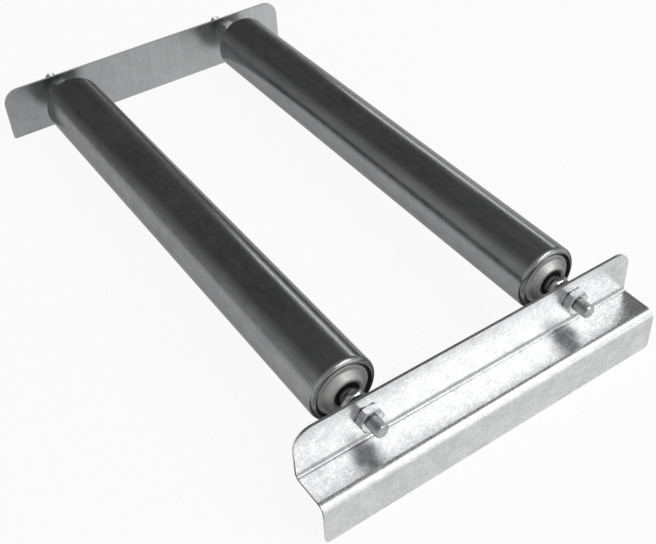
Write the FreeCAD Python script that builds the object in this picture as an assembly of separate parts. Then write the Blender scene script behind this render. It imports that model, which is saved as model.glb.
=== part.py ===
import FreeCAD, Part
import math
import os

from FreeCAD import Vector

# Pipe roller support: two free-turning rollers between a hooked rail bracket and a flat end plate.
# While it is drawn, X runs along the rollers with the rail bracket at +X, Y goes across them,
# and Z = 0 is the plane of the two roller axes. All sizes are in millimetres.

# Rollers
roller_diameter = 50.0
tube_wall = 1.5
tube_length = 421.0
rim_radius = 3.6
roller_spacing = 171.5
end_gap = 22.5

# Brackets
sheet = 2.0
bend_radius = 2.5
lip_bend_radius = 4.5
bracket_length = 277.0
plate_top = 17.5
corner_radius = 14.0
ledge_drop = 20.0
ledge_depth = 31.5
lip_drop = 54.0
lip_corner_radius = 3.0
end_plate_drop = 29.0
end_plate_foot_radius = 2.0
axle_hole_clearance = 0.25

# Axles and nuts
axle_diameter = 10.0
axle_chamfer = 0.8
rail_stud_length = 16.5
end_stud_length = 28.5
nut_flats = 17.0
nut_thickness = 6.0
nut_chamfer_angle = 30.0
lock_nut_offset = 7.5
thread_clearance = 0.05
left_outer_nut_turn = -5.0

# End covers
rim_groove_width = 2.0
rim_groove_depth = 4.0
cover_recess = 1.2
cover_wall = 1.6
cover_skirt = 5.5
cover_edge_radius = 0.9
nose_height = 5.4
nose_slope = 55.0
nose_foot_rounding = 1.8
nose_top_radius = 11.2
nose_rounding = 1.6
nose_hole_radius = 9.6

# Bearings
ball_diameter = 6.0
ball_count = 8
pitch_radius = 11.0
raceway_clearance = 0.3
shoulder_height = 2.0
race_width = 8.0
outer_race_radius = 16.0
housing_flange = 2.0
housing_flange_bore = 13.4
cage_thickness = 1.0
cage_width = 3.4
collar_radius = 7.0
curl_clearance = 0.05

# Dust seals
seal_gap = 0.3
seal_width = 2.5
seal_offset = -0.5

# Worked out from the sizes above
roller_radius = roller_diameter / 2
tube_bore = roller_radius - tube_wall
tube_end = tube_length / 2
rim_edge_radius = roller_radius - rim_radius
bracket_face = tube_end + end_gap
lip_face = bracket_face + ledge_depth
axle_radius = axle_diameter / 2
nut_bore = axle_radius + thread_clearance
cover_radius = rim_edge_radius - rim_groove_width
groove_floor = tube_end - rim_groove_depth
skirt_end = tube_end - cover_skirt
race_back = skirt_end - race_width
race_middle = skirt_end - race_width / 2
ball_radius = ball_diameter / 2
raceway_radius = ball_radius + raceway_clearance
raceway_half_width = math.sqrt(raceway_radius ** 2 - shoulder_height ** 2)
collar_end = tube_end + lock_nut_offset
half_spacing = roller_spacing / 2
half_bracket = bracket_length / 2

# The part's own frame has its origin in the middle of the underside of its bounding box.
rail_reach = lip_face
end_reach = bracket_face + sheet + end_stud_length
frame_shift = Vector((end_reach - rail_reach) / 2, 0, lip_drop)

AXIS_X = Vector(1, 0, 0)
AXIS_Z = Vector(0, 0, 1)
ORIGIN = Vector(0, 0, 0)


def outline(*steps):
    """Closed wire in the XZ plane. A step is a point (x, z), or an arc as (middle point, end point)."""
    here = Vector(steps[0][0], 0, steps[0][1])
    start = here
    edges = []
    for step in steps[1:]:
        if isinstance(step[0], tuple):
            middle = Vector(step[0][0], 0, step[0][1])
            there = Vector(step[1][0], 0, step[1][1])
            edges.append(Part.Arc(here, middle, there).toShape())
        else:
            there = Vector(step[0], 0, step[1])
            edges.append(Part.makeLine(here, there))
        here = there
    edges.append(Part.makeLine(here, start))
    return Part.Wire(edges)


def turned(*steps):
    """Solid of revolution about the X axis from an outline given as (x, radius) steps."""
    return Part.Face(outline(*steps)).revolve(ORIGIN, AXIS_X, 360)


def on_circle(centre, radius, degrees):
    """Point (x, z) on a circle, with 0 degrees along +X."""
    angle = math.radians(degrees)
    return (centre[0] + radius * math.cos(angle), centre[1] + radius * math.sin(angle))


def sheet_outline(bottom, top, top_radius, bottom_radius, depth, x):
    """Block as long as a bracket, with rounded upper and lower corners, to cut a sheet's ends with."""
    block = Part.makeBox(depth, bracket_length, top - bottom, Vector(x, -half_bracket, bottom))
    for height, radius in ((top, top_radius), (bottom, bottom_radius)):
        corners = [
            edge for edge in block.Edges
            if len(edge.Vertexes) == 2
            and edge.BoundBox.YLength < 0.01
            and edge.BoundBox.ZLength < 0.01
            and abs(edge.BoundBox.ZMin - height) < 0.01
        ]
        block = block.makeFillet(radius, corners)
    return block


def axle_holes(x, depth):
    """Two round holes through a bracket, one for each axle."""
    radius = axle_radius + axle_hole_clearance
    margin = sheet
    holes = [
        Part.makeCylinder(radius, depth + 2 * margin, Vector(x - margin, y, 0), AXIS_X)
        for y in (-half_spacing, half_spacing)
    ]
    return Part.makeCompound(holes)


def make_rail_bracket():
    """Sheet bent to a Z: an upright, a ledge that lies on the rail and a lip that hooks over it."""
    inner, outer = bend_radius, bend_radius + sheet
    lip_inner, lip_outer = lip_bend_radius, lip_bend_radius + sheet
    ledge_top, ledge_under = -ledge_drop, -ledge_drop - sheet
    upright_out = bracket_face + sheet
    lip_in = lip_face - sheet
    upper_bend = (upright_out + inner, ledge_top + inner)
    lower_bend = (lip_in - lip_inner, ledge_under - lip_inner)
    section = outline(
        (bracket_face, plate_top),
        (upright_out, plate_top),
        (upright_out, ledge_top + inner),
        (on_circle(upper_bend, inner, 225), (upright_out + inner, ledge_top)),
        (lip_face - lip_outer, ledge_top),
        (on_circle(lower_bend, lip_outer, 45), (lip_face, ledge_top - lip_outer)),
        (lip_face, -lip_drop),
        (lip_in, -lip_drop),
        (lip_in, ledge_under - lip_inner),
        (on_circle(lower_bend, lip_inner, 45), (lip_in - lip_inner, ledge_under)),
        (bracket_face + outer, ledge_under),
        (on_circle(upper_bend, outer, 225), (bracket_face, ledge_under + outer)),
    )
    bent = Part.Face(section).extrude(Vector(0, bracket_length, 0))
    bent.translate(Vector(0, -half_bracket, 0))
    blank = sheet_outline(-lip_drop, plate_top, corner_radius, lip_corner_radius, ledge_depth, bracket_face)
    return bent.common(blank).cut(axle_holes(bracket_face, sheet)).removeSplitter()


def make_end_plate():
    """Flat sheet with rounded upper corners that closes the far end."""
    x = -bracket_face - sheet
    plate = sheet_outline(-end_plate_drop, plate_top, corner_radius, end_plate_foot_radius, sheet, x)
    return plate.cut(axle_holes(x, sheet))


def make_tube():
    """Roller tube with both rims rolled inwards over the bearing housings."""
    curl = (tube_end - rim_radius, rim_edge_radius)
    curl_bore = rim_radius - tube_wall
    far_curl = (-curl[0], curl[1])
    return turned(
        (curl[0], roller_radius),
        (on_circle(curl, rim_radius, 45), (tube_end, rim_edge_radius)),
        (tube_end - tube_wall, rim_edge_radius),
        (on_circle(curl, curl_bore, 45), (curl[0], tube_bore)),
        (far_curl[0], tube_bore),
        (on_circle(far_curl, curl_bore, 135), (tube_wall - tube_end, rim_edge_radius)),
        (-tube_end, rim_edge_radius),
        (on_circle(far_curl, rim_radius, 135), (far_curl[0], roller_radius)),
    )


def make_axle():
    """Round bar threaded at both ends, where it stands out of the brackets."""
    rail_tip = bracket_face + sheet + rail_stud_length
    end_tip = -end_reach
    tip_radius = axle_radius - axle_chamfer
    return turned(
        (end_tip, 0),
        (end_tip, tip_radius),
        (end_tip + axle_chamfer, axle_radius),
        (rail_tip - axle_chamfer, axle_radius),
        (rail_tip, tip_radius),
        (rail_tip, 0),
    )


def make_housing():
    """Cup pressed in the tube, with a ridge under the rolled rim and a seat for the outer race."""
    curl = (tube_end - rim_radius, rim_edge_radius)
    ridge = rim_radius - tube_wall - curl_clearance
    back = race_back - housing_flange
    return turned(
        (back, tube_bore),
        (curl[0], tube_bore),
        (curl[0], rim_edge_radius + ridge),
        (on_circle(curl, ridge, 45), (curl[0] + ridge, rim_edge_radius)),
        (groove_floor, rim_edge_radius),
        (groove_floor, cover_radius),
        (skirt_end, cover_radius),
        (skirt_end, outer_race_radius),
        (race_back, outer_race_radius),
        (race_back, housing_flange_bore),
        (back, housing_flange_bore),
    )


def make_outer_race():
    shoulder = pitch_radius + shoulder_height
    return turned(
        (race_back, outer_race_radius),
        (skirt_end, outer_race_radius),
        (skirt_end, shoulder),
        (race_middle + raceway_half_width, shoulder),
        ((race_middle, pitch_radius + raceway_radius), (race_middle - raceway_half_width, shoulder)),
        (race_back, shoulder),
    )


def make_cone():
    """Inner race with the collar that the lock nut bears on."""
    shoulder = pitch_radius - shoulder_height
    return turned(
        (race_back, nut_bore),
        (race_back, shoulder),
        (race_middle - raceway_half_width, shoulder),
        ((race_middle, pitch_radius - raceway_radius), (race_middle + raceway_half_width, shoulder)),
        (skirt_end, shoulder),
        (skirt_end, collar_radius),
        (collar_end, collar_radius),
        (collar_end, nut_bore),
    )


def make_ball_cage():
    """Ring of balls held in their cage."""
    inner, outer = pitch_radius - cage_thickness / 2, pitch_radius + cage_thickness / 2
    near, far = race_middle - cage_width / 2, race_middle + cage_width / 2
    cage = turned((near, inner), (near, outer), (far, outer), (far, inner))
    balls = []
    for number in range(ball_count):
        ball = Part.makeSphere(ball_radius, Vector(race_middle, 0, pitch_radius))
        ball.rotate(ORIGIN, AXIS_X, 360 * number / ball_count)
        balls.append(ball)
    return cage.fuse(balls)


def make_dust_seal():
    bore = collar_radius
    edge = nose_hole_radius - seal_gap
    start = tube_end + seal_offset
    end = start + seal_width
    return turned((start, bore), (start, edge), (end, edge), (end, bore))


def make_cover():
    """Cap set a little behind the tube's end, with a raised nose round the axle's opening."""
    face = tube_end - cover_recess
    nose_top = face + nose_height
    back = face - cover_wall
    edge_centre = (face - cover_edge_radius, cover_radius - cover_edge_radius)
    rounding_centre = (nose_top - nose_rounding, nose_top_radius)
    slope_top = on_circle(rounding_centre, nose_rounding, nose_slope)
    slope = math.radians(nose_slope)
    slope_foot_x = face + nose_foot_rounding * (1 - math.cos(slope))
    slope_foot_radius = slope_top[1] + (slope_top[0] - slope_foot_x) / math.tan(slope)
    foot_centre = (face + nose_foot_rounding, slope_foot_radius + nose_foot_rounding * math.sin(slope))
    lip_start = nose_top - (nose_top_radius - nose_hole_radius) / 2
    return turned(
        (skirt_end, cover_radius),
        (edge_centre[0], cover_radius),
        (on_circle(edge_centre, cover_edge_radius, 45), (face, edge_centre[1])),
        (face, foot_centre[1]),
        (on_circle(foot_centre, nose_foot_rounding, 180 + nose_slope / 2), (slope_foot_x, slope_foot_radius)),
        slope_top,
        (on_circle(rounding_centre, nose_rounding, nose_slope / 2), (nose_top, nose_top_radius)),
        (lip_start, nose_hole_radius),
        (back, nose_hole_radius),
        (back, cover_radius - cover_wall),
        (skirt_end, cover_radius - cover_wall),
    )


def make_nut(start, turn=0.0):
    """Hexagon nut along X with both faces chamfered, one flat upwards."""
    corner_reach = nut_flats / math.sqrt(3)
    corners = []
    for number in range(6):
        angle = math.radians(60 * number + turn)
        corners.append(Vector(start, corner_reach * math.cos(angle), corner_reach * math.sin(angle)))
    corners.append(corners[0])
    prism = Part.Face(Part.makePolygon(corners)).extrude(Vector(nut_thickness, 0, 0))
    face_radius = nut_flats / 2 - nut_flats / 50
    chamfer = (corner_reach - face_radius) * math.tan(math.radians(nut_chamfer_angle))
    end = start + nut_thickness
    blank = turned(
        (start, nut_bore),
        (start, face_radius),
        (start + chamfer, corner_reach),
        (end - chamfer, corner_reach),
        (end, face_radius),
        (end, nut_bore),
    )
    return prism.common(blank)


def at_end(shape, y, end):
    """Piece drawn on the X axis at the rail end, set on a roller's axis at the named end."""
    placed = shape.copy()
    if end == "end_plate":
        placed.rotate(ORIGIN, AXIS_Z, 180)
    placed.translate(Vector(0, y, 0))
    return placed


def save(name, shape):
    solids = shape.Solids
    if len(solids) != 1 or not shape.isValid():
        raise ValueError(f"{name} is not one valid solid")
    solid = solids[0].copy()
    solid.translate(frame_shift)
    solid.exportStep(f"parts/{name}.step")
    print(f"{name:40s} volume {solid.Volume:10.1f}")


def main():
    os.makedirs("parts", exist_ok=True)
    save("rail_bracket", make_rail_bracket())
    save("end_plate", make_end_plate())
    inner_pieces = {
        "bearing_housing": make_housing(),
        "outer_race": make_outer_race(),
        "ball_cage": make_ball_cage(),
        "cone": make_cone(),
        "dust_seal": make_dust_seal(),
        "end_cover": make_cover(),
        "lock_nut": make_nut(collar_end),
        "clamp_nut": make_nut(bracket_face - nut_thickness),
    }
    tube = make_tube()
    axle = make_axle()
    for side, y, outer_nut_turn in (
        ("left", -half_spacing, left_outer_nut_turn),
        ("right", half_spacing, 0.0),
    ):
        save(f"{side}_roller_tube", at_end(tube, y, "rail"))
        save(f"{side}_axle", at_end(axle, y, "rail"))
        outer_nut = make_nut(bracket_face + sheet, outer_nut_turn)
        for end in ("rail", "end_plate"):
            for piece, shape in inner_pieces.items():
                save(f"{side}_{piece}_at_{end}", at_end(shape, y, end))
            save(f"{side}_outer_nut_at_{end}", at_end(outer_nut, y, end))


main()
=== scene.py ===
import bpy
import math
from mathutils import Matrix, Vector


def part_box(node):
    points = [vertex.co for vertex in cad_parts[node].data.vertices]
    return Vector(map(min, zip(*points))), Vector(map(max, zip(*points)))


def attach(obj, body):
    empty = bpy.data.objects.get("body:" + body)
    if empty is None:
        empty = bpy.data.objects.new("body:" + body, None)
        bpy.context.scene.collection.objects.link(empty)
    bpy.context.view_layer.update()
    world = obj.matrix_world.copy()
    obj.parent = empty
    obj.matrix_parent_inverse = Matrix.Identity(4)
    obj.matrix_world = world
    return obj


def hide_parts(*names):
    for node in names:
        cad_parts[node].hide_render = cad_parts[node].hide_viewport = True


# Pipe roller support: zinc-plated rollers between a galvanised rail bracket and a flat end plate.
# The frame's own axes are kept: X along the rollers with the rail bracket at +X, Z up, in metres.

MM = 0.001

# Camera, as fitted to the photograph
VIEW_AZIMUTH = 56.53
VIEW_ELEVATION = 41.53
VIEW_ROLL = -2.42
CAMERA_PLACE = (0.5757, -0.3142, 0.5391)
SENSOR_WIDTH = 36
LENS = 56.5
SHIFT_X = -0.0439
SHIFT_Y = -0.0077

# Axles: a plain bar between two threads
THREAD_PITCH = 1.5 * MM
THREAD_DEPTH = 0.72 * MM
THREAD_CREST = THREAD_PITCH * 0.2
THREAD_FLANK = THREAD_PITCH * 0.35
THREAD_INSET = 2.0 * MM
THREAD_STEPS = 40
TIP_CHAMFER = 0.8 * MM
BAR_CHAMFER = 0.6 * MM
AXLE_SMOOTH_ANGLE = math.radians(28)
MERGE_DISTANCE = 0.01 * MM
CUT_TOLERANCE = 0.001 * MM

# Nuts. A chamfer is the face's radius as a share of the width across flats, and its angle.
NUT_CHAMFER = (0.475, math.radians(30))
LOCK_NUT_CHAMFER = (0.465, math.radians(55))
NUT_CLEARANCE = 0.05 * MM
NUT_EDGE = 0.4 * MM
NUT_EDGE_ANGLE = math.radians(25)
NUT_SMOOTH_ANGLE = math.radians(12)
LEFT_OUTER_NUT_TURN = -5.0
BLANK_OVERSIZE = 1.01

# Round pieces along X. A face is an end face where its normal's X is past the last value.
BLANK_SIDES = 96
ROUND_SIDES = 64
END_FACE = 0.9

# Contrast of a noise: the part of its range that is spread to 0..1
STRONG = (0.35, 0.65)
CLEAR = (0.3, 0.7)
SOFT = (0.25, 0.75)

# Zinc crystals on the sheets
CRYSTAL_WOBBLES_PER_METRE = 260.0
CRYSTAL_WOBBLE = 1.6 * MM
CRYSTAL_CLOUDS_PER_METRE = 45.0
CRYSTAL_GRAIN_PER_METRE = 1500.0
CRYSTAL_DEPTH = 0.2 * MM
CRYSTAL_TONE_SHARE = 0.4
CRYSTAL_HEIGHT_SHARE = 0.6
COARSE_TONE_SHARE = 0.85
CRYSTAL_DULLNESS = (0.3, 1.6)
SPECKS_PER_METRE = 900.0
SPECK_PATCHES_PER_METRE = 60.0
SPECK_PATCH_SHARE = 0.35
SPECK_THRESHOLD = (0.78, 0.88)
SOFT_CLOUDS_PER_METRE = 85.0
SOFT_CLOUD_SHARE = 0.45

# Painted shade along the rail bracket's hollow bend: its middle (X, Z), its reach and its share of light
FOLD_MIDDLE = (0.2349, 0.0351)
FOLD_CORE = 0.5 * MM
FOLD_REACH = 3.0 * MM
FOLD_RAGGED = 2.4 * MM
FOLD_WAVES_PER_METRE = 260.0
FOLD_SHADE_SHARE = 0.58

# Streaks on the end plate, and where along Y it turns brighter: painted shade towards -Y, painted light
# towards +Y
STREAKS_PER_METRE = (1.0, 420.0, 25.0)
END_PLATE_PAINTED_LIGHT = (-0.13, 0.13)
END_PLATE_PAINTED_LIGHT_SHARE = 0.6

# The end plate's cut edges, dull and with a painted highlight: the square of X in a face's normal, from an
# edge's value to a flat face's
CUT_EDGE = (0.2, 0.5)
CUT_EDGE_METAL = 0.1

# Fine grain, and the sizes in millimetres of soft patches on handled surfaces
GRAIN_PER_METRE = 2600.0
GRAIN_DEPTH = 0.1 * MM
FASTENER_PATCHES = 5.0
MOULDED_PATCHES = 9.0

# Tubes: lines and clouds that run along them, dull patches and finer smears
DRAWN_LINES_PER_METRE = (6.0, 900.0, 900.0)
DRAWN_CLOUDS_PER_METRE = (18.0, 60.0, 60.0)
DRAWN_LINE_SHARE = 0.5
TUBE_RELIEF = 0.15
TUBE_PATCHES = 14.0
TUBE_SMEARS = 4.0
TUBE_SMEAR_STRETCH = (0.7, 1.0, 1.0)
TUBE_MARK_TONE = 0.8
TUBE_TONES = (0.22, 0.6)
TUBE_METAL_FADE = (0.2, 0.8)
TUBE_SMEAR_METAL = 0.91

# Turned rings on the end covers
COVER_RING_PITCH = 1.6 * MM
COVER_RING_TONE_SHARE = 0.6
COVER_RING_HEIGHT_SHARE = 0.8
COVER_RELIEF = 0.3

# Studio: brightness, where 1 is white, and the directions between which each part of it fades in
ROOM_GLOW = 0.1
WALL_GLOW = 0.38
WALL_X = (-0.6, 0.35)
RIGHT_GLOW = 0.28
RIGHT_Y = (0.4, 0.8)
RIGHT_Z = (0.5, 0.15)
LEFT_GLOW = 0.3
LEFT_Y = (-0.4, -0.75)
LEFT_Z = (0.85, 0.4)
LOW_FRONT_GLOW = 1.0
LOW_FRONT_X = (0.5, 0.75)
LOW_FRONT_Y = (0.0, 0.25)
LOW_FRONT_Z = (0.65, 0.4)

# Floor. Metal mirrors it brighter in front of the rail bracket, and nearly black in a strip that
# ends under the bracket's upright, so that the rims' lower edges turn dark. Its glows are shares of
# white. The mix shader cuts them off at 1, so the front floor is plain white before its ramp ends.
FLOOR_SIZE = 16
FLOOR_GREY = 0.9
FLOOR_GLOW_SEEN = 0.92
FLOOR_GLOW_MIRRORED = 0.65
FRONT_FLOOR_GLOW_MIRRORED = 1.4
FRONT_FLOOR_X = (0.305, 0.38)
FRONT_FLOOR_Y = (-0.14, -0.1)
SHADED_FLOOR_GREY = 0.03
SHADED_FLOOR_SHARE = 0.1
SHADE_START_X = (0.175, 0.195)
SHADE_END_X = (0.235, 0.23)

SIDES = ("left", "right")
ENDS = ("rail", "end_plate")

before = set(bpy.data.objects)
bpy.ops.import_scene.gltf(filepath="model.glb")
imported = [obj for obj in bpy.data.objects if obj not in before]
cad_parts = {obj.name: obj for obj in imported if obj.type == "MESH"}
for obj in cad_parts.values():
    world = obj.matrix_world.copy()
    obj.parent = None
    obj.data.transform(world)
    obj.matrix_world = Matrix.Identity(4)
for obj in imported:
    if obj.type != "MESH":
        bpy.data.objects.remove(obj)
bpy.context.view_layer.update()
bpy.ops.object.select_all(action="DESELECT")


def node(name):
    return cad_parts[name]


# Node helpers


class Tree:
    """Short ways to add nodes and links to one node tree."""

    def __init__(self, node_tree):
        self.tree = node_tree

    def add(self, kind, **settings):
        made = self.tree.nodes.new(kind)
        for key, value in settings.items():
            setattr(made, key, value)
        return made

    def link(self, source, target):
        self.tree.links.new(source, target)

    def feed(self, made, **values):
        """Sets inputs by name, with underscores for spaces. A socket is linked, a plain value is written."""
        for key, value in values.items():
            socket = made.inputs[key.replace("_", " ")]
            if isinstance(value, bpy.types.NodeSocket):
                self.link(value, socket)
            else:
                socket.default_value = value
        return made

    def place(self, coordinates="Object"):
        return self.add("ShaderNodeTexCoord").outputs[coordinates]

    def parts(self, vector):
        """X, Y and Z of a vector, by name."""
        made = self.add("ShaderNodeSeparateXYZ")
        self.link(vector, made.inputs[0])
        return made.outputs

    def math(self, operation, first, second=None):
        made = self.add("ShaderNodeMath", operation=operation)
        for socket, value in zip(made.inputs, (first, second)):
            if isinstance(value, bpy.types.NodeSocket):
                self.link(value, socket)
            elif value is not None:
                socket.default_value = value
        return made.outputs[0]

    def times(self, first, second):
        return self.math("MULTIPLY", first, second)

    def away(self, across, above):
        """Distance from the point that both values are measured from."""
        squares = self.math("ADD", self.math("POWER", across, 2.0), self.math("POWER", above, 2.0))
        return self.math("SQRT", squares)

    def blend(self, first, share, second):
        """Weighted sum of two values. The share is the weight of the first."""
        kept = self.times(second, 1 - share)
        return self.math("ADD", self.times(first, share), kept)

    def spread(self, value, low, high, to_low, to_high):
        """Maps low..high to to_low..to_high, clamped."""
        made = self.add("ShaderNodeMapRange")
        self.feed(made, Value=value, From_Min=low, From_Max=high, To_Min=to_low, To_Max=to_high)
        return made.outputs["Result"]

    def rise(self, value, start, full):
        """From 0 at start to 1 at full, which may be the lower of the two."""
        return self.spread(value, start, full, 0.0, 1.0)

    def between(self, share, at_none, at_full):
        """From one number to another, by a 0..1 share."""
        return self.spread(share, 0.0, 1.0, at_none, at_full)

    def noise(self, vector, scale, detail=3.0, roughness=0.5):
        made = self.add("ShaderNodeTexNoise")
        self.feed(made, Vector=vector, Scale=scale, Detail=detail, Roughness=roughness)
        return made.outputs["Fac"]

    def stretched(self, vector, x, y, z):
        made = self.add("ShaderNodeMapping")
        self.feed(made, Vector=vector, Scale=(x, y, z))
        return made.outputs["Vector"]

    def grey(self, value):
        """The same value in all three colour channels."""
        made = self.add("ShaderNodeCombineColor")
        for socket in made.inputs:
            self.link(value, socket)
        return made.outputs["Color"]

    def dimmed(self, colour, share):
        """Colour times a 0..1 share."""
        made = self.add("ShaderNodeMix", data_type="RGBA", blend_type="MULTIPLY")
        made.inputs["Factor"].default_value = 1.0
        self.link(colour, made.inputs[6])
        self.link(self.grey(share), made.inputs[7])
        return made.outputs[2]

    def tinted(self, value, low, high):
        """Colour between low and high, by a 0..1 value."""
        made = self.add("ShaderNodeMix", data_type="RGBA")
        self.link(value, made.inputs["Factor"])
        made.inputs[6].default_value = (*low, 1)
        made.inputs[7].default_value = (*high, 1)
        return made.outputs[2]

    def bumped(self, strength, depth, height):
        made = self.add("ShaderNodeBump")
        self.feed(made, Strength=strength, Distance=depth, Height=height)
        return made.outputs["Normal"]


def group_with(name, inputs, outputs):
    """Empty shader node group. Inputs are (name, kind, start value), outputs (name, kind)."""
    group = bpy.data.node_groups.new(name, "ShaderNodeTree")
    for label, kind, start in inputs:
        socket = group.interface.new_socket(label, in_out="INPUT", socket_type=kind)
        if start is not None:
            socket.default_value = start
    for label, kind in outputs:
        group.interface.new_socket(label, in_out="OUTPUT", socket_type=kind)
    tree = Tree(group)
    return group, tree, tree.add("NodeGroupInput").outputs, tree.add("NodeGroupOutput").inputs


def spangle_group():
    """Zinc crystals of a hot-dipped sheet: each grain has its own tone, tilt and sheen."""
    group, tree, given, out = group_with(
        "spangle",
        [
            ("Vector", "NodeSocketVector", None),
            ("Grain Size", "NodeSocketFloat", 3.0),
            ("Relief", "NodeSocketFloat", 0.2),
        ],
        [
            ("Tone", "NodeSocketFloat"),
            ("Dullness", "NodeSocketFloat"),
            ("Specks", "NodeSocketFloat"),
            ("Normal", "NodeSocketVector"),
        ],
    )
    where = given["Vector"]
    wobble = tree.add("ShaderNodeTexNoise")
    tree.feed(wobble, Vector=where, Scale=CRYSTAL_WOBBLES_PER_METRE, Detail=2.0)
    bent = tree.add("ShaderNodeVectorMath", operation="MULTIPLY_ADD")
    tree.link(wobble.outputs["Color"], bent.inputs[0])
    bent.inputs[1].default_value = (CRYSTAL_WOBBLE, CRYSTAL_WOBBLE, CRYSTAL_WOBBLE)
    tree.link(where, bent.inputs[2])
    crystals = tree.add("ShaderNodeTexVoronoi")
    per_metre = tree.math("DIVIDE", 1 / MM, given["Grain Size"])
    tree.feed(crystals, Vector=bent.outputs[0], Scale=per_metre)
    own = tree.add("ShaderNodeSeparateColor")
    tree.link(crystals.outputs["Color"], own.inputs[0])
    own_tone, own_dullness, own_height = own.outputs
    clouds = tree.noise(where, CRYSTAL_CLOUDS_PER_METRE, 4.0, 0.6)
    fine = tree.noise(where, CRYSTAL_GRAIN_PER_METRE, 3.0, 0.7)
    tone = tree.blend(own_tone, CRYSTAL_TONE_SHARE, clouds)
    tree.link(tree.blend(tone, COARSE_TONE_SHARE, fine), out["Tone"])
    tree.link(tree.rise(tree.math("ADD", own_dullness, clouds), *CRYSTAL_DULLNESS), out["Dullness"])
    dots = tree.noise(where, SPECKS_PER_METRE, 2.0, 0.6)
    patches = tree.noise(where, SPECK_PATCHES_PER_METRE, 3.0, 0.6)
    dotted = tree.math("ADD", dots, tree.times(patches, SPECK_PATCH_SHARE))
    tree.link(tree.rise(dotted, *SPECK_THRESHOLD), out["Specks"])
    height = tree.blend(own_height, CRYSTAL_HEIGHT_SHARE, fine)
    tree.link(tree.bumped(given["Relief"], CRYSTAL_DEPTH, height), out["Normal"])
    return group


def drawn_group():
    """Fine lines that run along the rollers, with clouded plating."""
    group, tree, given, out = group_with(
        "drawn",
        [("Vector", "NodeSocketVector", None), ("Relief", "NodeSocketFloat", 0.1)],
        [("Tone", "NodeSocketFloat"), ("Dullness", "NodeSocketFloat"), ("Normal", "NodeSocketVector")],
    )
    lines = tree.noise(tree.stretched(given["Vector"], *DRAWN_LINES_PER_METRE), 1.0, 4.0, 0.6)
    clouds = tree.noise(tree.stretched(given["Vector"], *DRAWN_CLOUDS_PER_METRE), 1.0, 4.0, 0.6)
    tree.link(tree.blend(lines, DRAWN_LINE_SHARE, clouds), out["Tone"])
    tree.link(clouds, out["Dullness"])
    tree.link(tree.bumped(given["Relief"], GRAIN_DEPTH, lines), out["Normal"])
    return group


def grime_group():
    """Soft patches, for handling marks and slight unevenness of any surface."""
    group, tree, given, out = group_with(
        "grime",
        [("Vector", "NodeSocketVector", None), ("Patch Size", "NodeSocketFloat", 8.0)],
        [("Patches", "NodeSocketFloat"), ("Grain", "NodeSocketFloat")],
    )
    per_metre = tree.math("DIVIDE", 1 / MM, given["Patch Size"])
    patches = tree.noise(given["Vector"], per_metre, 5.0, 0.6)
    tree.link(tree.rise(patches, *STRONG), out["Patches"])
    tree.link(tree.noise(given["Vector"], GRAIN_PER_METRE, 2.0, 0.6), out["Grain"])
    return group


SPANGLE = spangle_group()
DRAWN = drawn_group()
GRIME = grime_group()


def placed(tree, group, **values):
    made = tree.add("ShaderNodeGroup", node_tree=group)
    return tree.feed(made, **values).outputs


# Materials. The sizes of grains and patches are in millimetres.


def start_material(name):
    """New material with an empty tree, and the place on the piece that its patterns follow."""
    material = bpy.data.materials.new(name)
    material.use_nodes = True
    material.node_tree.nodes.clear()
    tree = Tree(material.node_tree)
    return material, tree, tree.place()


def surface(tree, colour, roughness, normal, **plain):
    """Principled BSDF and output. Plain values are written on the shader's own sockets."""
    shader = tree.add("ShaderNodeBsdfPrincipled")
    tree.feed(shader, Base_Color=colour, Roughness=roughness, Normal=normal, **plain)
    output = tree.add("ShaderNodeOutputMaterial")
    tree.link(shader.outputs[0], output.inputs["Surface"])


def zinc_sheet(name, grain_size, relief, smooth, dull):
    """What both galvanised sheets share: material, tree, place, crystals, tone and roughness."""
    material, tree, where = start_material(name)
    zinc = placed(tree, SPANGLE, Vector=where, Grain_Size=grain_size, Relief=relief)
    clouds = tree.rise(tree.noise(where, SOFT_CLOUDS_PER_METRE, 3.0, 0.55), *STRONG)
    tone = tree.blend(clouds, SOFT_CLOUD_SHARE, tree.rise(zinc["Tone"], *SOFT))
    roughness = tree.between(zinc["Dullness"], smooth, dull)
    return material, tree, where, zinc, tone, roughness


def painted_fold_shade(tree, where):
    """Painted shade: share of the zinc's colour that is kept, lower along the rail bracket's hollow bend."""
    place = tree.parts(where)
    across = tree.math("SUBTRACT", place["X"], FOLD_MIDDLE[0])
    above = tree.math("SUBTRACT", place["Z"], FOLD_MIDDLE[1])
    ragged = tree.times(tree.noise(where, FOLD_WAVES_PER_METRE, 3.0, 0.6), FOLD_RAGGED)
    distance = tree.math("ADD", tree.away(across, above), ragged)
    start, end = FOLD_CORE + FOLD_RAGGED / 2, FOLD_REACH + FOLD_RAGGED / 2
    return tree.spread(distance, start, end, FOLD_SHADE_SHARE, 1.0)


def rail_sheet_material(name, dark, light, grain_size, relief, smooth, dull):
    """Bright hot-dipped zinc with dark specks and painted shade in the hollow bend."""
    material, tree, where, zinc, tone, roughness = zinc_sheet(name, grain_size, relief, smooth, dull)
    tone = tree.math("SUBTRACT", tone, zinc["Specks"])
    # The colour is dimmed by painted shade along the hollow bend.
    colour = tree.dimmed(tree.tinted(tone, dark, light), painted_fold_shade(tree, where))
    surface(tree, colour, roughness, zinc["Normal"], Metallic=1.0)
    return material


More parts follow.
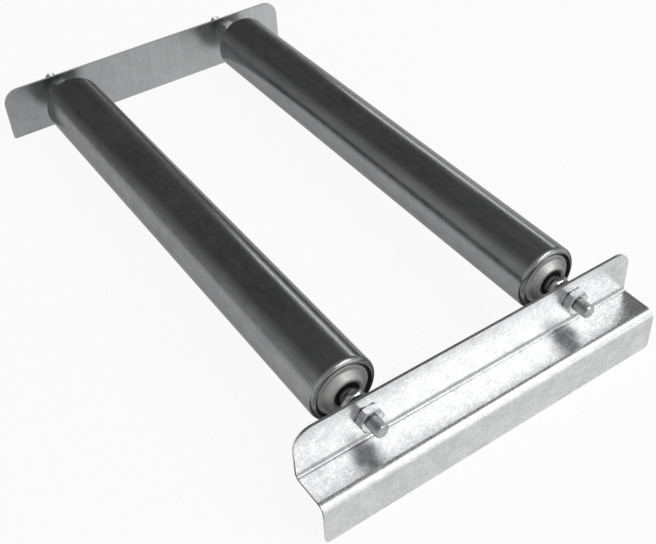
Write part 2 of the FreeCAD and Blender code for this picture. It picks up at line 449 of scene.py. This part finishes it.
def end_sheet_material(name, dark, light, grain_size, streaks, smooth, dull):
    """Zinc with a share of upright streaks, painted shade towards -Y and painted light towards +Y, and dull
    cut edges whose pale colour is a painted highlight.
    """
    material, tree, where, zinc, tone, roughness = zinc_sheet(name, grain_size, 0.0, smooth, dull)
    lines = tree.noise(tree.stretched(where, *STREAKS_PER_METRE), 1.0, 3.0, 0.6)
    tone = tree.blend(tree.rise(lines, *CLEAR), streaks, tone)
    # Painted light and shade: the tone turns from darker at -Y to brighter at +Y.
    painted_light_along_y = tree.rise(tree.parts(where)["Y"], *END_PLATE_PAINTED_LIGHT)
    tone = tree.blend(painted_light_along_y, END_PLATE_PAINTED_LIGHT_SHARE, tone)
    facing = tree.parts(tree.add("ShaderNodeNewGeometry").outputs["True Normal"])["X"]
    flat = tree.times(facing, facing)
    metal = tree.spread(flat, *CUT_EDGE, CUT_EDGE_METAL, 1.0)
    # The pale colour on the cut edges is a painted highlight; their dull, less metallic finish is the edge's
    # own.
    pale_edge_highlight = tree.spread(flat, *CUT_EDGE, 1.0, 0.0)
    colour = tree.tinted(tree.math("MAXIMUM", tone, pale_edge_highlight), dark, light)
    surface(tree, colour, roughness, zinc["Normal"], Metallic=metal)
    return material


def tube_material(name, dark, light, smooth, dull):
    """Drawn and zinc-plated tube with dull patches and finer smears."""
    material, tree, where = start_material(name)
    drawn = placed(tree, DRAWN, Vector=where, Relief=TUBE_RELIEF)
    patches = placed(tree, GRIME, Vector=where, Patch_Size=TUBE_PATCHES)["Patches"]
    along = tree.stretched(where, *TUBE_SMEAR_STRETCH)
    smears = placed(tree, GRIME, Vector=along, Patch_Size=TUBE_SMEARS)["Patches"]
    tone = tree.times(drawn["Tone"], tree.between(patches, TUBE_MARK_TONE, 1.0))
    tone = tree.times(tone, tree.between(smears, TUBE_MARK_TONE, 1.0))
    colour = tree.tinted(tree.rise(tone, *TUBE_TONES), dark, light)
    roughness = tree.spread(tree.blend(drawn["Dullness"], 0.5, smears), *SOFT, smooth, dull)
    metal = tree.spread(smears, *TUBE_METAL_FADE, TUBE_SMEAR_METAL, 1.0)
    surface(tree, colour, roughness, drawn["Normal"], Metallic=metal, Specular_Tint=(0.6, 0.6, 0.6, 1))
    return material


def handled_material(name, dark, light, smooth, dull, patch_size, relief, **plain):
    """Even surface with handling marks. Plain values are written on the shader's own sockets."""
    material, tree, where = start_material(name)
    marks = placed(tree, GRIME, Vector=where, Patch_Size=patch_size)
    colour = tree.tinted(marks["Patches"], dark, light)
    roughness = tree.between(marks["Patches"], dull, smooth)
    surface(tree, colour, roughness, tree.bumped(relief, GRAIN_DEPTH, marks["Grain"]), **plain)
    return material


def fastener_material(name, dark, light, smooth, dull):
    return handled_material(name, dark, light, smooth, dull, FASTENER_PATCHES, relief=0.12, Metallic=1.0)


def moulded_material(name, dark, light, smooth, dull, specular):
    return handled_material(
        name, dark, light, smooth, dull, MOULDED_PATCHES, relief=0.15, Specular_IOR_Level=specular
    )


def distance_from_axis(tree, where):
    """Distance of a point from the nearer roller axis. Both axes are as far from Y = 0."""
    low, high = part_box("right_roller_tube")
    place = tree.parts(where)
    across = tree.math("SUBTRACT", tree.math("ABSOLUTE", place["Y"]), (low.y + high.y) / 2)
    above = tree.math("SUBTRACT", place["Z"], (low.z + high.z) / 2)
    return tree.away(across, above)


def turned_material(name, dark, light, smooth, dull):
    """Light grey cover with a metallic sheen, drawn out across the fine rings round the axis."""
    material, tree, where = start_material(name)
    marks = placed(tree, GRIME, Vector=where, Patch_Size=MOULDED_PATCHES)
    line = tree.add("ShaderNodeCombineXYZ")
    tree.link(distance_from_axis(tree, where), line.inputs["X"])
    rings = tree.rise(tree.noise(line.outputs[0], 1 / COVER_RING_PITCH, 2.0, 0.6), *CLEAR)
    colour = tree.tinted(tree.blend(rings, COVER_RING_TONE_SHARE, marks["Patches"]), dark, light)
    roughness = tree.between(marks["Patches"], dull, smooth)
    height = tree.blend(rings, COVER_RING_HEIGHT_SHARE, marks["Grain"])
    normal = tree.bumped(COVER_RELIEF, GRAIN_DEPTH, height)
    around = tree.add("ShaderNodeTangent", direction_type="RADIAL", axis="X").outputs[0]
    surface(tree, colour, roughness, normal, Metallic=0.5, Anisotropic=0.5, Tangent=around)
    return material


MATERIALS = {
    "rail_sheet": rail_sheet_material(
        "rail_sheet",
        dark=(0.54, 0.545, 0.55),
        light=(0.76, 0.765, 0.77),
        grain_size=1.8,
        relief=0.3,
        smooth=0.22,
        dull=0.34,
    ),
    "end_sheet": end_sheet_material(
        "end_sheet",
        dark=(0.29, 0.295, 0.30),
        light=(0.59, 0.595, 0.60),
        grain_size=3.0,
        streaks=0.35,
        smooth=0.28,
        dull=0.31,
    ),
    "tube": tube_material(
        "zinc_tube", dark=(0.24, 0.245, 0.25), light=(0.39, 0.392, 0.395), smooth=0.16, dull=0.26
    ),
    "nut": fastener_material(
        "zinc_nut", dark=(0.36, 0.365, 0.37), light=(0.48, 0.485, 0.49), smooth=0.16, dull=0.26
    ),
    "stud": fastener_material(
        "zinc_stud", dark=(0.36, 0.365, 0.37), light=(0.50, 0.505, 0.51), smooth=0.2, dull=0.3
    ),
    "bearing": fastener_material(
        "bearing_steel", dark=(0.40, 0.40, 0.41), light=(0.52, 0.52, 0.53), smooth=0.12, dull=0.2
    ),
    "cover": turned_material(
        "cover_polymer", dark=(0.32, 0.32, 0.315), light=(0.58, 0.58, 0.57), smooth=0.38, dull=0.48
    ),
    "housing": moulded_material(
        "housing_polymer",
        dark=(0.10, 0.10, 0.10),
        light=(0.14, 0.14, 0.14),
        smooth=0.45,
        dull=0.6,
        specular=0.4,
    ),
    "seal": moulded_material(
        "seal_rubber",
        dark=(0.008, 0.008, 0.008),
        light=(0.014, 0.014, 0.014),
        smooth=0.55,
        dull=0.7,
        specular=0.3,
    ),
}


# Finishes of the pieces that keep their own mesh


def finish(name, material):
    slots = node(name).data.materials
    slots.clear()
    slots.append(MATERIALS[material])


finish("rail_bracket", "rail_sheet")
finish("end_plate", "end_sheet")
for side in SIDES:
    finish(f"{side}_roller_tube", "tube")
    for end in ENDS:
        finish(f"{side}_bearing_housing_at_{end}", "housing")
        finish(f"{side}_end_cover_at_{end}", "cover")
        finish(f"{side}_dust_seal_at_{end}", "seal")
        for piece in ("outer_race", "ball_cage", "cone"):
            finish(f"{side}_{piece}_at_{end}", "bearing")


# Modelling helpers


def select_only(item):
    bpy.ops.object.select_all(action="DESELECT")
    item.select_set(True)
    bpy.context.view_layer.objects.active = item


def select_faces(chosen):
    """Selects the faces of the mesh in edit mode for which chosen(face) is true."""
    bpy.ops.mesh.select_mode(type="FACE")
    bpy.ops.mesh.select_all(action="DESELECT")
    bpy.ops.object.mode_set(mode="OBJECT")
    mesh = bpy.context.object.data
    for polygon in mesh.polygons:
        polygon.select = chosen(polygon)
    bpy.ops.object.mode_set(mode="EDIT")


def cylinder_along_x(name, sides, radius, depth, middle=0.0):
    bpy.ops.mesh.primitive_cylinder_add(
        vertices=sides,
        radius=radius,
        depth=depth,
        location=(middle, 0, 0),
        rotation=(0, math.pi / 2, 0),
    )
    made = bpy.context.object
    made.name = name
    bpy.ops.object.transform_apply(location=True, rotation=True, scale=True)
    return made


def set_finish(made, smooth_angle, material):
    """Smooth shading of the active object up to an angle, and its one material."""
    bpy.ops.object.shade_smooth_by_angle(angle=smooth_angle)
    made.data.materials.clear()
    made.data.materials.append(MATERIALS[material])


def put_in_frame(pattern, name, node_name, place):
    """Copy of a pattern with its own mesh, moved to its place, instead of a zinc-plated node."""
    made = bpy.data.objects.new(name, pattern.data.copy())
    bpy.context.collection.objects.link(made)
    made.data.transform(place)
    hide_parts(node_name)
    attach(made, "frame")


# Threaded axles


def cut_end(place, outwards):
    """Cuts the mesh square at x = place, drops what lies on the outward side and closes the end."""
    bpy.ops.mesh.select_all(action="SELECT")
    bpy.ops.mesh.bisect(
        plane_co=(place, 0, 0),
        plane_no=(outwards, 0, 0),
        use_fill=True,
        clear_outer=True,
        threshold=CUT_TOLERANCE,
    )


def thread_between(name, start, stop, radius):
    """Helical thread along X from start to stop, closed at both ends, standing on the X axis."""
    first = start - THREAD_PITCH
    profile = [
        (first, radius),
        (first + THREAD_CREST, radius),
        (first + THREAD_CREST + THREAD_FLANK, radius - THREAD_DEPTH),
        (first + THREAD_PITCH - THREAD_FLANK, radius - THREAD_DEPTH),
        (first + THREAD_PITCH, radius),
    ]
    mesh = bpy.data.meshes.new(name)
    points = [(x, 0, height) for x, height in profile]
    mesh.from_pydata(points, [(i, i + 1) for i in range(len(points) - 1)], [])
    thread = bpy.data.objects.new(name, mesh)
    bpy.context.collection.objects.link(thread)
    select_only(thread)
    screw = thread.modifiers.new("screw", "SCREW")
    screw.axis = "X"
    screw.screw_offset = THREAD_PITCH
    screw.iterations = math.ceil((stop - start) / THREAD_PITCH) + 2
    screw.steps = THREAD_STEPS
    screw.render_steps = THREAD_STEPS
    bpy.ops.object.modifier_apply(modifier="screw")
    bpy.ops.object.mode_set(mode="EDIT")
    bpy.ops.mesh.select_all(action="SELECT")
    bpy.ops.mesh.remove_doubles(threshold=MERGE_DISTANCE)
    cut_end(stop, 1)
    cut_end(start, -1)
    bpy.ops.mesh.select_all(action="SELECT")
    bpy.ops.mesh.normals_make_consistent(inside=False)
    bpy.ops.object.mode_set(mode="OBJECT")
    return thread


def chamfer_tip(thread, tip, inwards, radius):
    """Draws the thread in towards its tip, as a turned chamfer does."""
    for vertex in thread.data.vertices:
        depth = (vertex.co.x - tip) * inwards
        limit = radius - TIP_CHAMFER + max(depth, 0)
        reach = math.hypot(vertex.co.y, vertex.co.z)
        if reach > limit:
            vertex.co.y *= limit / reach
            vertex.co.z *= limit / reach


def plain_bar(name, start, stop, radius):
    """Bar along X with chamfered ends, which run out inside the threads."""
    bar = cylinder_along_x(name, ROUND_SIDES, radius, stop - start, (start + stop) / 2)
    bpy.ops.object.mode_set(mode="EDIT")
    select_faces(lambda face: abs(face.normal.x) > END_FACE)
    bpy.ops.mesh.bevel(offset=BAR_CHAMFER, segments=2, affect="EDGES")
    bpy.ops.object.mode_set(mode="OBJECT")
    return bar


def make_axle():
    """One axle on the X axis: a plain bar with a thread from behind each lock nut to the tip."""
    low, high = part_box("left_axle")
    radius = (high.z - low.z) / 2
    near_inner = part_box("left_lock_nut_at_rail")[0].x - THREAD_INSET
    far_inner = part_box("left_lock_nut_at_end_plate")[1].x + THREAD_INSET
    near = thread_between("near_thread", near_inner, high.x, radius)
    chamfer_tip(near, high.x, -1, radius)
    far = thread_between("far_thread", low.x, far_inner, radius)
    chamfer_tip(far, low.x, 1, radius)
    axle = plain_bar("axle", far_inner - THREAD_PITCH, near_inner + THREAD_PITCH, radius)
    select_only(axle)
    near.select_set(True)
    far.select_set(True)
    bpy.ops.object.join()
    set_finish(axle, AXLE_SMOOTH_ANGLE, "stud")
    return axle


pattern_axle = make_axle()
for side in SIDES:
    low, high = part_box(f"{side}_axle")
    middle = (low + high) / 2
    move = Matrix.Translation((0, middle.y, middle.z))
    put_in_frame(pattern_axle, f"{side}_threaded_axle", f"{side}_axle", move)
bpy.data.objects.remove(pattern_axle)


# Nuts with chamfered faces and softened edges


def combine(base, tool, operation):
    """Boolean of base with tool. The tool is used up."""
    select_only(base)
    step = base.modifiers.new("combine", "BOOLEAN")
    step.operation = operation
    step.object = tool
    step.solver = "EXACT"
    bpy.ops.object.modifier_apply(modifier="combine")
    bpy.data.objects.remove(tool)


def turned_blank(radius, face_radius, angle, thickness):
    """Round disc along X whose rims fall back from the faces at the given angle."""
    fall = (radius - face_radius) * math.tan(angle)
    blank = cylinder_along_x("blank", BLANK_SIDES, radius, thickness - 2 * fall)
    for outwards in (1, -1):
        bpy.ops.object.mode_set(mode="EDIT")
        select_faces(lambda face: face.normal.x * outwards > END_FACE)
        bpy.ops.mesh.extrude_region_move(TRANSFORM_OT_translate={"value": (outwards * fall, 0, 0)})
        share = face_radius / radius
        middle = (outwards * thickness / 2, 0, 0)
        bpy.ops.transform.resize(value=(1, share, share), center_override=middle)
        bpy.ops.object.mode_set(mode="OBJECT")
    return blank


def make_nut(chamfer):
    """Hexagon nut around the frame's origin, bored along X, one flat upwards."""
    low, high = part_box("right_outer_nut_at_rail")
    thickness, flats = high.x - low.x, high.z - low.z
    axle_low, axle_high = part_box("right_axle")
    face_share, angle = chamfer
    reach = flats / math.sqrt(3)
    nut = cylinder_along_x("nut", 6, reach, thickness)
    combine(nut, turned_blank(reach * BLANK_OVERSIZE, flats * face_share, angle, thickness), "INTERSECT")
    bore = (axle_high.z - axle_low.z) / 2 + NUT_CLEARANCE
    combine(nut, cylinder_along_x("bore", ROUND_SIDES, bore, thickness * 2), "DIFFERENCE")
    soften = nut.modifiers.new("soften", "BEVEL")
    soften.width = NUT_EDGE
    soften.segments = 2
    soften.limit_method = "ANGLE"
    soften.angle_limit = NUT_EDGE_ANGLE
    bpy.ops.object.modifier_apply(modifier="soften")
    set_finish(nut, NUT_SMOOTH_ANGLE, "nut")
    return nut


def place_nut(pattern, node_name, turn):
    """Nut in the middle of its node's box, turned by some degrees round the axle."""
    low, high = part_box(node_name)
    place = Matrix.Translation((low + high) / 2) @ Matrix.Rotation(math.radians(turn), 4, "X")
    put_in_frame(pattern, node_name + "_chamfered", node_name, place)


plain_nut = make_nut(NUT_CHAMFER)
lock_nut = make_nut(LOCK_NUT_CHAMFER)
for side in SIDES:
    for end in ENDS:
        turn = 0.0
        if side == "left":
            turn = LEFT_OUTER_NUT_TURN if end == "rail" else -LEFT_OUTER_NUT_TURN
        place_nut(lock_nut, f"{side}_lock_nut_at_{end}", 0.0)
        place_nut(plain_nut, f"{side}_clamp_nut_at_{end}", 0.0)
        place_nut(plain_nut, f"{side}_outer_nut_at_{end}", turn)
bpy.data.objects.remove(plain_nut)
bpy.data.objects.remove(lock_nut)


# Floor, lights, world and camera


def make_floor():
    """Pale floor that carries the rail bracket's lip and the lower edge of the end plate."""
    near = Vector((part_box("rail_bracket")[1].x, 0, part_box("rail_bracket")[0].z))
    far = Vector((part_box("end_plate")[0].x, 0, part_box("end_plate")[0].z))
    tilt = math.atan2(far.z - near.z, near.x - far.x)
    bpy.ops.mesh.primitive_plane_add(size=FLOOR_SIZE, location=(near + far) / 2, rotation=(0, tilt, 0))
    floor = bpy.context.object
    floor.name = "floor"
    material, tree, where = start_material("pale_floor")
    matt = tree.add("ShaderNodeBsdfDiffuse")
    glow = tree.add("ShaderNodeEmission")
    glow.inputs["Color"].default_value = (1, 1, 1, 1)
    glow.inputs["Strength"].default_value = 1.0
    ray = tree.add("ShaderNodeLightPath").outputs
    mirrored = ray["Is Glossy Ray"]
    place = tree.parts(where)
    front = tree.times(tree.rise(place["X"], *FRONT_FLOOR_X), tree.rise(place["Y"], *FRONT_FLOOR_Y))
    floor_glow = tree.between(front, FLOOR_GLOW_MIRRORED, FRONT_FLOOR_GLOW_MIRRORED)
    begun, not_ended = tree.rise(place["X"], *SHADE_START_X), tree.rise(place["X"], *SHADE_END_X)
    shaded = tree.math("MINIMUM", begun, not_ended)
    floor_glow = tree.times(floor_glow, tree.between(shaded, 1.0, SHADED_FLOOR_SHARE))
    grey = tree.between(tree.times(shaded, mirrored), FLOOR_GREY, SHADED_FLOOR_GREY)
    tree.link(tree.grey(grey), matt.inputs["Color"])
    seen = tree.times(ray["Is Camera Ray"], FLOOR_GLOW_SEEN)
    share = tree.math("MAXIMUM", seen, tree.times(mirrored, floor_glow))
    mix = tree.add("ShaderNodeMixShader")
    tree.link(share, mix.inputs[0])
    tree.link(matt.outputs[0], mix.inputs[1])
    tree.link(glow.outputs[0], mix.inputs[2])
    output = tree.add("ShaderNodeOutputMaterial")
    tree.link(mix.outputs[0], output.inputs["Surface"])
    floor.data.materials.append(material)


def softbox(name, place, aim, width, height, radiance):
    """Area light at place that faces aim. Its brightness is given as a surface would show it."""
    data = bpy.data.lights.new(name, "AREA")
    data.shape = "RECTANGLE"
    data.size = width
    data.size_y = height
    data.energy = radiance * math.pi * width * height
    light = bpy.data.objects.new(name, data)
    bpy.context.collection.objects.link(light)
    light.location = place
    light.rotation_euler = (Vector(place) - Vector(aim)).to_track_quat("Z", "Y").to_euler()
    light.visible_camera = False


def make_world():
    """Studio: a grey wall behind the camera, a dim room ahead, paler low at the sides and in front."""
    world = bpy.data.worlds.new("room")
    world.use_nodes = True
    bpy.context.scene.world = world
    tree = Tree(world.node_tree)
    world.node_tree.nodes.clear()
    towards = tree.parts(tree.place("Generated"))
    wall = tree.spread(towards["X"], *WALL_X, 0.0, WALL_GLOW)
    right = tree.rise(towards["Y"], *RIGHT_Y)
    right = tree.times(right, tree.spread(towards["Z"], *RIGHT_Z, 0.0, RIGHT_GLOW))
    left = tree.rise(towards["Y"], *LEFT_Y)
    left = tree.times(left, tree.spread(towards["Z"], *LEFT_Z, 0.0, LEFT_GLOW))
    low = tree.times(tree.rise(towards["X"], *LOW_FRONT_X), tree.rise(towards["Y"], *LOW_FRONT_Y))
    low = tree.times(low, tree.spread(towards["Z"], *LOW_FRONT_Z, 0.0, LOW_FRONT_GLOW))
    glow = tree.math("ADD", tree.math("ADD", wall, low), tree.math("ADD", right, left))
    glow = tree.math("ADD", glow, ROOM_GLOW)
    glow = tree.math("MAXIMUM", glow, tree.add("ShaderNodeLightPath").outputs["Is Camera Ray"])
    room = tree.add("ShaderNodeBackground")
    tree.link(tree.grey(glow), room.inputs["Color"])
    output = tree.add("ShaderNodeOutputWorld")
    tree.link(room.outputs[0], output.inputs["Surface"])


def make_camera():
    data = bpy.data.cameras.new("camera")
    data.sensor_width = SENSOR_WIDTH
    data.lens = LENS
    data.shift_x = SHIFT_X
    data.shift_y = SHIFT_Y
    camera = bpy.data.objects.new("camera", data)
    bpy.context.collection.objects.link(camera)
    turn = Matrix.Rotation(math.radians(VIEW_AZIMUTH), 4, "Z")
    nod = Matrix.Rotation(math.radians(90 - VIEW_ELEVATION), 4, "X")
    roll = Matrix.Rotation(math.radians(VIEW_ROLL), 4, "Z")
    camera.matrix_world = Matrix.Translation(CAMERA_PLACE) @ turn @ nod @ roll
    bpy.context.scene.camera = camera


make_floor()
make_world()
softbox(
    "front_right",
    place=(0.84, 0.50, 0.93),
    aim=(0.25, 0.0, 0.05),
    width=1.0,
    height=0.6,
    radiance=3.0,
)
softbox(
    "side_window",
    place=(-0.65, 1.01, 0.38),
    aim=(0.15, 0.0, 0.07),
    width=0.55,
    height=0.2,
    radiance=1.8,
)
make_camera()

bpy.context.scene.view_settings.view_transform = "Standard"
